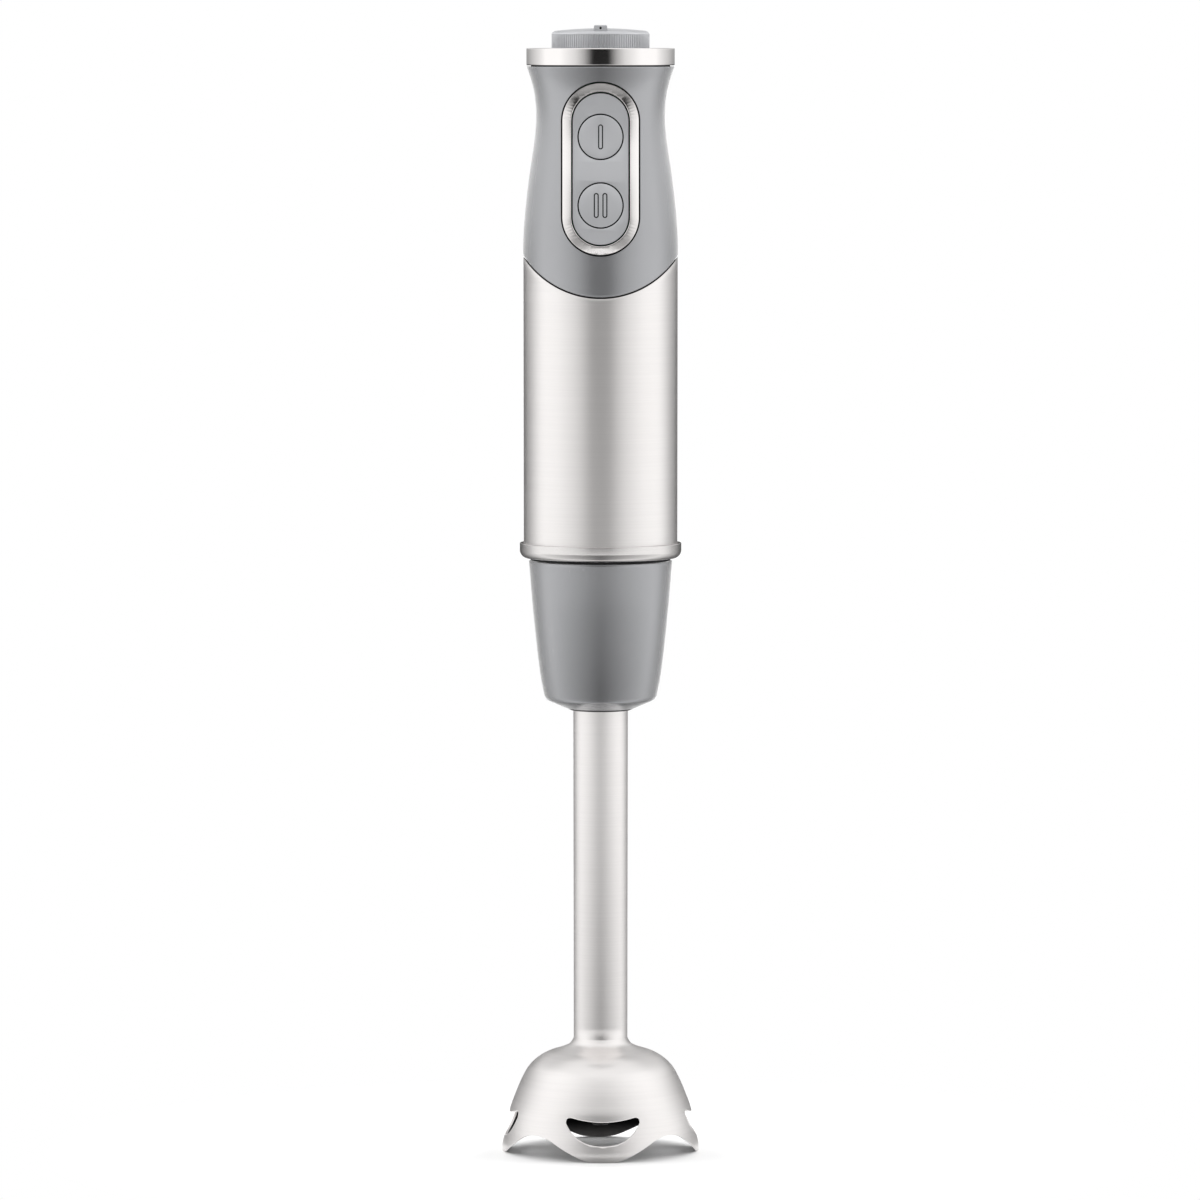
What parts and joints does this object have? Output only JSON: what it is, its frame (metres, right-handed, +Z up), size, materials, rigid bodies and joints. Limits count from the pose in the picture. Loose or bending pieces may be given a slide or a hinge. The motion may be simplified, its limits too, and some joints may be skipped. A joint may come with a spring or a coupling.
{
  "type": "immersion blender",
  "caption": "Slim upright stick blender: waisted grip with speed dial and two push buttons, steel motor sleeve, twist-off steel foot with a slotted bell and blade.",
  "frame": {"origin": "on the floor under the drive axis, midway between the four teeth of the bell", "axes": "+Z up along the drive axis, -Y towards the buttons, +X to the right of the buttons"},
  "size_m": [0.0692, 0.0692, 0.3954],
  "materials": {
    "grip_plastic": "satin mid grey moulding, fine spark-eroded grain",
    "adapter_plastic": "smooth half-gloss grey moulding",
    "brushed_steel": "stainless steel with fine circumferential brushing",
    "chrome": "bright chrome plating",
    "machined_steel": "turned or ground steel",
    "black_rubber": "matte black rubber",
    "inner_plastic": "glass-filled dark moulding",
    "laminations": "stacked silicon-steel laminations",
    "copper": "enamelled copper winding and copper bars",
    "brass": "plain brass",
    "circuit_board": "green lacquered board",
    "carbon": "pressed carbon"
  },
  "bodies": {
    "motor_unit": {"grip_shell": "grip_plastic", "motor_sleeve": "brushed_steel", "crown_ring": "chrome", "top_cover": "grip_plastic", "lead_inlet": "black_rubber", "button_bezel": "chrome", "button_plate": "grip_plastic", "switch_board": "circuit_board", "on_switch": "inner_plastic", "boost_switch": "inner_plastic", "on_button_spring": "machined_steel", "boost_button_spring": "machined_steel", "board_frame": "inner_plastic", "control_board": "circuit_board", "speed_potentiometer": "inner_plastic", "cover_screw_left": "machined_steel", "cover_screw_right": "machined_steel", "motor_housing": "inner_plastic", "field_stack": "laminations", "field_coil_right": "copper", "field_coil_left": "copper", "upper_bracket": "inner_plastic", "upper_bearing": "machined_steel", "lower_bearing": "machined_steel", "brush_holder_rear": "brass", "carbon_brush_rear": "carbon", "brush_holder_front": "brass", "carbon_brush_front": "carbon", "collar_ring": "brushed_steel", "bayonet_spigot": "inner_plastic", "foot_seal": "black_rubber", "spigot_screw_1": "machined_steel", "spigot_screw_2": "machined_steel", "spigot_screw_3": "machined_steel"},
    "dial": {"speed_dial": "grip_plastic", "dial_spindle": "inner_plastic"},
    "on_button": {"on_button": "grip_plastic"},
    "boost_button": {"boost_button": "grip_plastic"},
    "rotor": {"motor_shaft": "machined_steel", "armature_core": "laminations", "lower_end_winding": "copper", "upper_end_winding": "copper", "commutator": "copper", "cooling_fan": "inner_plastic", "drive_dog": "inner_plastic"},
    "foot": {"foot_adapter": "adapter_plastic", "steel_foot": "brushed_steel", "upper_bush": "brass", "hub_sleeve": "inner_plastic", "lower_bush": "brass", "shaft_seal": "black_rubber"},
    "blade": {"blade_shaft": "machined_steel", "driven_dog": "inner_plastic", "shaft_clip": "machined_steel", "blade": "machined_steel", "blade_nut": "machined_steel"}
  },
  "joints": [
    {"name": "dial_turn", "type": "hinge", "parent": "motor_unit", "child": "dial", "pos_m": [0, 0, 0.386], "axis": [0, 0, 1], "range_deg": [-135, 135]},
    {"name": "on_press", "type": "slide", "parent": "motor_unit", "child": "on_button", "axis": [0, 1, 0], "range_m": [0, 0.0015], "stiffness_N_per_m": 700, "springref_m": -0.0012, "deforming": ["on_button_spring"]},
    {"name": "boost_press", "type": "slide", "parent": "motor_unit", "child": "boost_button", "axis": [0, 1, 0], "range_m": [0, 0.0015], "stiffness_N_per_m": 700, "springref_m": -0.0012, "deforming": ["boost_button_spring"]},
    {"name": "rotor_spin", "type": "hinge", "parent": "motor_unit", "child": "rotor", "pos_m": [0, 0, 0.25], "axis": [0, 0, 1], "continuous": true},
    {"name": "foot_turn", "type": "hinge", "parent": "motor_unit", "child": "foot", "pos_m": [0, 0, 0.2], "axis": [0, 0, 1], "range_deg": [0, 40]},
    {"name": "blade_spin", "type": "hinge", "parent": "foot", "child": "blade", "pos_m": [0, 0, 0.1], "axis": [0, 0, 1], "continuous": true}
  ],
  "couplings": [
    {"joint": "blade_spin", "follows": "rotor_spin", "ratio": 1}
  ]
}
